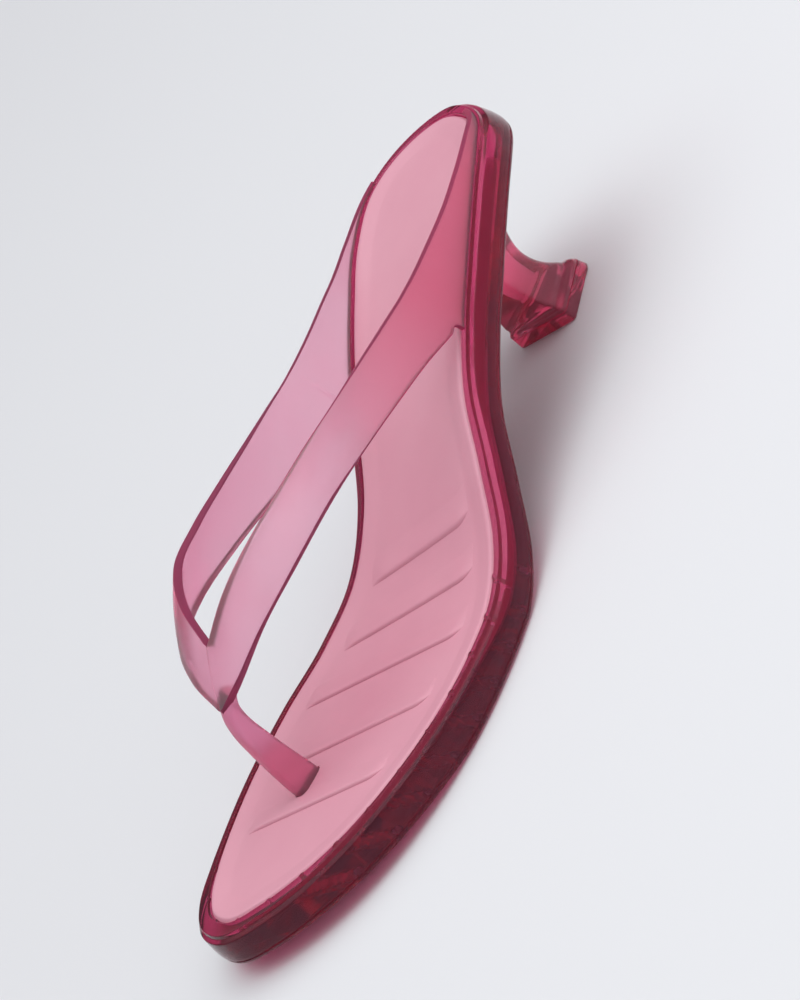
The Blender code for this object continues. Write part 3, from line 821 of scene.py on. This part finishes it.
def heel_plan(back, front, half_back, half_front):
    """Section of the heel: square at the front, rounded at the back."""
    plan = []
    for along, half, radius, first, steps in (
        (front, half_front, HEEL_FRONT_RADIUS, 0.0, CORNER_POINTS_FRONT),
        (back, half_back, HEEL_BACK_RADIUS * half_back, 90.0, CORNER_POINTS_BACK),
        (back, -half_back, HEEL_BACK_RADIUS * half_back, 180.0, CORNER_POINTS_BACK),
        (front, -half_front, HEEL_FRONT_RADIUS, 270.0, CORNER_POINTS_FRONT),
    ):
        centre_u = along - math.copysign(radius, along - 0.5 * (back + front))
        centre_w = half - math.copysign(radius, half)
        for i in range(steps + 1):
            angle = math.radians(first + 90.0 * i / steps)
            plan.append((centre_u + radius * math.cos(angle), centre_w + radius * math.sin(angle)))
    u, w = np.array(plan).T
    x = HEEL_MIDDLE[0] + u * math.cos(HEEL_TURN) - w * math.sin(HEEL_TURN)
    y = HEEL_MIDDLE[1] + u * math.sin(HEEL_TURN) + w * math.cos(HEEL_TURN)
    return np.column_stack((x, y))


print("heel:", HEEL_SHAFT[-1][0], "mm from the floor to the waist")

# %% Heel
def draw_heel():
    waist = HEEL_SHAFT[-1][0]
    steps = [row[0] for row in HEEL_SHAFT]
    steps += [waist + row[0] * HEEL_SEAT_RUN for row in HEEL_SEAT]
    rows = [row[1:] for row in HEEL_SHAFT + HEEL_SEAT]
    rings = []
    for mark in np.linspace(steps[0], steps[-1], HEEL_LEVELS):
        plan = heel_plan(*(float(smooth(steps, [row[k] for row in rows], mark)) for k in range(4)))
        share = max((mark - waist) / HEEL_SEAT_RUN, 0.0)
        top = underside(plan[:, 0]) + JOINT_WELD
        height = np.where(mark <= waist, mark, waist + (top - waist) * share)
        rings.append(np.column_stack((plan, height)))
    surface = Surface()
    first, last = surface.loft(rings)
    surface.cone(first, (*HEEL_MIDDLE, rings[0][0, 2]))
    middle = np.array((*HEEL_MIDDLE, 0.0))
    for share in HEEL_TOP_RINGS:
        shrunk = middle + (rings[-1] - middle) * share
        shrunk[:, 2] = underside(shrunk[:, 0]) + JOINT_WELD
        ring = surface.add(shrunk)
        surface.skin(last, ring)
        last = ring
    surface.cone(last, (*HEEL_MIDDLE, float(underside(HEEL_MIDDLE[0])) + JOINT_WELD))
    return surface.make("moulded_heel")


def draw_top_lift():
    rings = []
    for height, *sizes in TOP_LIFT:
        plan = heel_plan(*sizes)
        rings.append(np.column_stack((plan, np.full(len(plan), height))))
    surface = Surface()
    first, last = surface.loft(rings)
    surface.cone(first, (*HEEL_MIDDLE, 0.0))
    surface.cone(last, (*HEEL_MIDDLE, TOP_LIFT_HEIGHT))
    return surface.make("top_lift_plate")


for piece, plastic, node in (
    (draw_heel(), heel_pvc, "heel"),
    (draw_top_lift(), lift_pvc, "top_lift"),
):
    piece.data.set_sharp_from_angle(angle=SHARP_ANGLE)
    dress(piece, node, plastic)

# %% [markdown]
# ## The strap
# The strap is one moulding: a flat band that rises from the rim on both sides of the heel, runs
# forward over the foot and folds to a crease over the toes, where the toe post goes down into the
# sole. A table gives the upper and the lower edge of the band at each section. Behind the arch the
# band stands on the rim and runs out to nothing at the back of the heel. There a second table gives
# only its height over the footbed and its lean outward.

# %% Strap tables
# Columns: upper edge in x, y and z, lower edge in x, y and z.
FORK = (184.0, -8.8, 52.4, 197.0, -8.7, 40.6)
LATERAL_ARM = (
    (174.0, 2.8, 60.2, 191.0, 1.4, 45.2),
    (163.0, 11.8, 64.4, 181.0, 11.4, 50.4),
    (150.0, 15.6, 65.0, 166.0, 20.8, 53.8),
    (136.0, 17.2, 64.4, 148.0, 24.6, 54.4),
    (120.0, 18.0, 63.0, 129.0, 23.0, 51.4),
    (104.0, 18.8, 61.6, 110.0, 21.6, 48.0),
    (91.0, 20.0, 60.6, 95.0, 21.4, 45.2),
)
MEDIAL_ARM = (
    (173.5, -20.2, 58.8, 190.0, -19.2, 46.2),
    (160.0, -29.4, 61.8, 178.0, -30.2, 49.8),
    (146.0, -32.4, 61.0, 162.0, -36.8, 48.8),
    (131.6, -33.5, 59.6, 141.4, -37.8, 45.6),
    (117.0, -33.7, 58.2, 123.0, -35.2, 42.5),
    (104.0, -33.6, 57.1, 108.0, -31.0, 40.5),
)
SEAT_COLUMNS = ("station", "height", "lean")
LATERAL_SEAT = (
    (85.0, 21.0, -1.5),
    (79.0, 18.2, -0.9),
    (66.0, 13.4, -0.3),
    (54.0, 9.5, 0.0),
    (40.0, 6.2, 0.0),
    (27.0, 4.1, 0.0),
    (17.0, 2.4, 0.0),
    (11.0, 0.8, 0.0),
)
MEDIAL_SEAT = (
    (93.2, 20.6, 4.6),
    (85.0, 16.7, 2.9),
    (79.0, 14.0, 2.3),
    (66.0, 9.1, 1.4),
    (54.0, 5.0, 0.7),
    (42.0, 2.4, 0.3),
    (32.0, 1.2, 0.1),
    (24.0, 0.8, 0.0),
)

print("strap:", len(LATERAL_ARM + LATERAL_SEAT), "sections on the lateral side,",
      len(MEDIAL_ARM + MEDIAL_SEAT), "on the medial side")

# %% [markdown]
# Where the band stands on the rim, its lower edge follows the curve of the rim. It is sunk a little
# into the rim, because the two are welded and no film of air shows between them. Where the band
# leaves the rim, the gap below it has a round end.

# %% Edges of the arms
SEAT_OUT = 1.35
WELD_DEPTH = 0.25
NOTCH_HEIGHT = 3.6
LATERAL_NOTCH = 81.8
MEDIAL_NOTCH = 90.6
NOTCH_RUN = 2.4
NOTCH_STEPS = 16
BAND_STEPS = 220


def rim_place(station, side):
    """Point over the rim at a station, side +1 lateral or -1 medial, with its outward normal."""
    half = len(EDGE) // 2
    picks = range(1, half) if side > 0 else range(half + 1, len(EDGE))
    order = sorted(picks, key=lambda i: EDGE[i, 0])
    xs = EDGE[order, 0]
    point = np.array((station, np.interp(station, xs, EDGE[order, 1])))
    normal = np.array([np.interp(station, xs, OUTWARD[order, k]) for k in (0, 1)])
    normal /= np.linalg.norm(normal)
    return point + normal * SEAT_OUT, normal


def notch(station, notch_from):
    """Height of the lower edge over the rim, with a round end where the band leaves the rim."""
    share = np.clip((station - notch_from) / NOTCH_RUN, 0.0, 1.0)
    return (NOTCH_HEIGHT + WELD_DEPTH) * math.sqrt(share * (2.0 - share)) - WELD_DEPTH


def arm_sections(rows, seat, side, notch_from):
    """Upper and lower edges of one arm, from the fork to the back of the heel."""
    table = [np.array((*row, row[3])) for row in (FORK,) + rows]
    for station, height, lean in seat:
        place, normal = rim_place(station, side)
        base = float(footbed(station))
        upper = np.append(place + normal * lean, base + height)
        table.append(np.concatenate((upper, place, (base + notch(station, notch_from), station))))
    table = np.array(table)
    middle = 0.5 * (table[:, :3] + table[:, 3:6])
    run = np.concatenate(([0.0], np.cumsum(np.linalg.norm(np.diff(middle, axis=0), axis=1))))
    round_end = np.interp([-notch_from - NOTCH_RUN, -notch_from], -table[:, 6], run)
    even = np.linspace(0.0, run[-1], BAND_STEPS + 1)
    marks = np.union1d(even, np.linspace(*round_end, NOTCH_STEPS))
    sections = np.column_stack([smooth(run, table[:, k], marks) for k in range(7)])
    seat_stations = column(seat, SEAT_COLUMNS, "station")[::-1]
    leans = column(seat, SEAT_COLUMNS, "lean")[::-1]
    for i, mark in enumerate(marks):
        if mark >= run[len(rows) + 1]:
            station = sections[i, 6]
            place, normal = rim_place(station, side)
            sections[i, 0:2] = place + normal * smooth(seat_stations, leans, station)
            sections[i, 3:5] = place
            sections[i, 5] = float(footbed(station)) + notch(station, notch_from)
    return sections[:, :6]


lateral_edges = arm_sections(LATERAL_ARM, LATERAL_SEAT, 1.0, LATERAL_NOTCH)
medial_edges = arm_sections(MEDIAL_ARM, MEDIAL_SEAT, -1.0, MEDIAL_NOTCH)
print("drawn with", len(lateral_edges), "and", len(medial_edges), "sections")

# %% [markdown]
# The section of the band is a flat bar with small round edges and a slight crown, thinner where it
# stands on the rim. It is set up at right angles to the way the band runs.

# %% Section of the band
BAND_THICKNESS = 2.4
BAND_SEAT_THICKNESS = 1.8
BAND_THINS_FROM = 112.0
BAND_THIN_AT = 84.0
BAND_CROWN = 0.7
BAND_FULL_WIDTH = 14.0
BAND_EDGE_RADIUS = 0.4
BAND_ROUNDEST = 0.3
BAND_CORNER_POINTS = 6
BAND_FACE_POINTS = 7


def band_ring(section, along, outward_hint):
    """Closed section of the band round its upper and lower edge, with rounded edges."""
    upper = section[:3]
    lower = section[3:]
    across = lower - upper
    width = np.linalg.norm(across)
    across = across / width
    normal = np.cross(along, across)
    normal /= np.linalg.norm(normal)
    if np.dot(normal, outward_hint) < 0:
        normal = -normal
    thinning = ease((BAND_THINS_FROM - lower[0]) / (BAND_THINS_FROM - BAND_THIN_AT))
    half = 0.5 * (BAND_THICKNESS + (BAND_SEAT_THICKNESS - BAND_THICKNESS) * thinning)
    radius = min(BAND_EDGE_RADIUS, BAND_ROUNDEST * width)
    crown = BAND_CROWN * min(width / BAND_FULL_WIDTH, 1.0)
    profile = []
    for first, centre, side in ((180.0, radius, 1.0), (90.0, width - radius, 1.0),
                                (0.0, width - radius, -1.0), (-90.0, radius, -1.0)):
        for i in range(BAND_CORNER_POINTS):
            angle = math.radians(first - 90.0 * i / (BAND_CORNER_POINTS - 1))
            profile.append((centre + radius * math.cos(angle),
                            side * (half - radius) + radius * math.sin(angle)))
        if first == 90.0 or first == -90.0:
            continue
        ends = (radius, width - radius) if side > 0 else (width - radius, radius)
        for share in np.arange(1, BAND_FACE_POINTS + 1) / (BAND_FACE_POINTS + 1):
            profile.append((ends[0] + (ends[1] - ends[0]) * share, side * half))
    ring = []
    for distance, lift in profile:
        share = distance / width
        bow = crown * 4.0 * share * (1.0 - share)
        ring.append(upper + across * distance + normal * (lift + bow))
    return ring


print("band:", BAND_THICKNESS, "mm thick,", BAND_SEAT_THICKNESS, "mm where it stands on the rim")

# %% [markdown]
# Both arms make one loft, with the section at the fork moved in a little as a crease. The way the
# band runs is read from its middle in plan and from its upper edge in height, because the lower
# edge jumps where the band leaves the rim.

# %% Band
FORK_CREASE = 0.3
FORK_ALONG = (0.0, -1.0, 0.0)
FORK_OUTWARD = (1.0, 0.0, 1.0)
ARM_OUTWARD = (0.35, 1.0, 0.45)


def draw_band():
    chain = np.vstack((lateral_edges[::-1], medial_edges[1:]))
    fork = len(lateral_edges) - 1
    chain[fork] -= np.tile((FORK_CREASE, 0.0, FORK_CREASE), 2)
    middle = 0.5 * (chain[:, :3] + chain[:, 3:])
    middle[:, 2] = chain[:, 2]
    rings = []
    for i, section in enumerate(chain):
        if i == fork:
            along = np.array(FORK_ALONG)
            hint = np.array(FORK_OUTWARD)
        else:
            low = max(i - 1, 0) if i < fork else max(i - 1, fork)
            high = min(i + 1, fork) if i < fork else min(i + 1, len(chain) - 1)
            along = middle[high] - middle[low]
            along /= np.linalg.norm(along)
            hint = np.array(ARM_OUTWARD) * (1.0, 1.0 if i < fork else -1.0, 1.0)
        rings.append(band_ring(section, along, hint))
    surface = Surface()
    for ring, points in zip(surface.loft(rings), (rings[0], rings[-1])):
        surface.cone(ring, np.mean(points, axis=0))
    return surface.make("moulded_strap")


strap = draw_band()
print("band:", len(strap.data.polygons), "faces")

# %% [markdown]
# The toe post is a second loft, an oval that gets wider under the fork. It is joined to the band
# with a Boolean. The narrow edges of the band have a deeper pink plastic of their own, painted
# shade for the dark lines where the eye looks along the plastic, and the post has its own plastic.

# %% Toe post
POST_COLUMNS = ("height", "x", "y", "half_length", "half_width", "sweep")
POST_STEPS = 60
POST = (
    (44.0, 191.9, -8.7, 0.8, 1.2, 0.6),
    (42.6, 193.5, -8.7, 1.4, 3.6, 0.6),
    (41.0, 195.1, -8.7, 2.0, 3.3, 0.4),
    (39.0, 196.1, -8.7, 2.5, 2.75, 0.15),
    (36.0, 197.0, -8.7, 2.9, 2.5, 0.0),
    (28.0, 198.2, -8.7, 3.7, 2.3, 0.0),
    (20.0, 198.8, -8.7, 4.3, 2.3, 0.0),
    (14.5, 199.0, -8.7, 4.7, 2.4, 0.0),
    (4.8, 199.0, -8.7, 4.7, 2.4, 0.0),
)


def draw_post():
    heights = column(POST, POST_COLUMNS, "height")[::-1]
    rings = []
    for mark in np.linspace(heights[0], heights[-1], POST_STEPS):
        row = [float(smooth(heights, column(POST, POST_COLUMNS, name)[::-1], mark))
               for name in POST_COLUMNS[1:]]
        rings.append(post_ring([mark] + row))
    surface = Surface()
    for ring, (height, x, y, *_) in zip(surface.loft(rings), (POST[-1], POST[0])):
        surface.cone(ring, (x, y, height))
    return surface.make("toe_post")


toe_post = draw_post()
for plastic in strap_plastics:
    strap.data.materials.append(plastic)
    toe_post.data.materials.append(plastic)
# Painted shade: the faces on the narrow edges of the band get the deeper pink edge plastic.
band_points = 4 * BAND_CORNER_POINTS + 2 * BAND_FACE_POINTS
shaded_edge_starts = (-BAND_CORNER_POINTS, band_points // 2 - BAND_CORNER_POINTS)
shaded_edge_points = {(start + i) % band_points for start in shaded_edge_starts
               for i in range(2 * BAND_CORNER_POINTS)}
for face in toe_post.data.polygons:
    face.material_index = 2
for face in strap.data.polygons:
    face.material_index = int(all(i % band_points in shaded_edge_points for i in face.vertices))
combine(strap, toe_post, "UNION")
dress(strap, "upper")

# %% [markdown]
# ## Floor and light
# The photograph is a catalogue picture: a pale cool-grey ground, soft light from above and plenty
# of fill. The floor is one large plane of matt paper.

# %% Floor
FLOOR_SIZE = 14.0
FLOOR_GREY = "#e2e4e8"
FLOOR_DROP_MM = 0.1
TOOTH_MM = 1.5
TOOTH_HEIGHT_MM = 0.1


def floor_paper():
    """Matt studio paper with a barely visible tooth."""
    material, place, output = new_material("studio_paper")
    tooth = add_node(material, "ShaderNodeTexNoise", {"Vector": place},
                     {"Scale": per_size(TOOTH_MM)})
    bump = add_node(material, "ShaderNodeBump", {"Height": tooth.outputs["Fac"]},
                    {"Strength": 0.05, "Distance": TOOTH_HEIGHT_MM * MM})
    surface = add_node(material, "ShaderNodeBsdfPrincipled", {"Normal": bump.outputs["Normal"]},
                       {"Base Color": linear(FLOOR_GREY), "Roughness": 0.9,
                        "Specular IOR Level": 0.2})
    material.node_tree.links.new(surface.outputs["BSDF"], output.inputs["Surface"])
    return material


floor_mesh = bpy.data.meshes.new("floor")
half = FLOOR_SIZE / 2
corners = [(-half, -half, 0), (half, -half, 0), (half, half, 0), (-half, half, 0)]
floor_mesh.from_pydata(corners, [], [(0, 1, 2, 3)])
floor_mesh.materials.append(floor_paper())
floor = bpy.data.objects.new("floor", floor_mesh)
floor.location.z = -FLOOR_DROP_MM * MM
bpy.context.scene.collection.objects.link(floor)
print("floor:", FLOOR_SIZE, "m square")

# %% [markdown]
# Clear plastic shows what stands round it as much as what lights it. The world is a studio in
# bands: pale walls at the level of the eye, which glow through heel and strap, a dark band above
# them, which keeps the rim and the wall deep in colour, and a bright ceiling. Three soft boxes
# help. The plastic mirrors the first, as the shine on the rim. The other two only fill in the
# shadow and are hidden from mirrored and bent rays, so they lay no grey veil over the pink.

# %% Light
SKY_AXIS = (-0.1, -0.1, 0.99)
SKY_STRENGTH = 1.48
LIGHT_BOUNCES = 32
# Columns: height of the direction, from -1 (down) to 1 (up), and colour.
SKY_BANDS = (
    (-0.20, "#2c2226"),
    (-0.06, "#b4b6ba"),
    (0.12, "#b4b6ba"),
    (0.25, "#3a3034"),
    (0.45, "#3a3034"),
    (0.95, "#f8f9fb"),
)
# Columns: name, place, size in metres, power in watts, mirrored.
SOFT_BOXES = (
    ("rim_box", (-0.25, 0.35, 1.5), 1.1, 5.0, True),
    ("fill_box", (0.45, 1.1, 1.0), 1.6, 3.0, False),
    ("heel_box", (-0.7, 0.9, 0.6), 1.0, 4.5, False),
)

world = bpy.data.worlds.new("studio")
world.use_nodes = True
direction = add_node(world, "ShaderNodeTexCoord").outputs["Generated"]
height = add_node(world, "ShaderNodeVectorMath", {0: direction}, {1: SKY_AXIS},
                  operation="DOT_PRODUCT")
share = add_node(world, "ShaderNodeMapRange", {"Value": height.outputs["Value"]},
                 {"From Min": -1.0})
sky = add_node(world, "ShaderNodeValToRGB", {"Fac": share.outputs["Result"]})
sky.color_ramp.interpolation = "EASE"
for spot, (band, colour) in enumerate(SKY_BANDS):
    stop = sky.color_ramp.elements[0] if spot == 0 else sky.color_ramp.elements.new(1.0)
    stop.position = (1.0 + band) / 2
    stop.color = linear(colour)
background = world.node_tree.nodes["Background"]
background.inputs["Strength"].default_value = SKY_STRENGTH
world.node_tree.links.new(sky.outputs["Color"], background.inputs["Color"])
bpy.context.scene.world = world
for name, place, size, power, mirrored in SOFT_BOXES:
    lamp = bpy.data.lights.new(name, "AREA")
    lamp.size = size
    lamp.energy = power
    item = bpy.data.objects.new(name, lamp)
    item.location = place
    item.rotation_euler = (AIM - Vector(place)).to_track_quat("-Z", "Y").to_euler()
    item.visible_glossy = mirrored
    item.visible_transmission = mirrored
    bpy.context.scene.collection.objects.link(item)
bpy.context.scene.view_settings.view_transform = "Standard"
bpy.context.scene.cycles.max_bounces = LIGHT_BOUNCES
bpy.context.scene.cycles.glossy_bounces = LIGHT_BOUNCES
bpy.context.scene.cycles.transmission_bounces = LIGHT_BOUNCES
print("lights:", [row[0] for row in SOFT_BOXES])
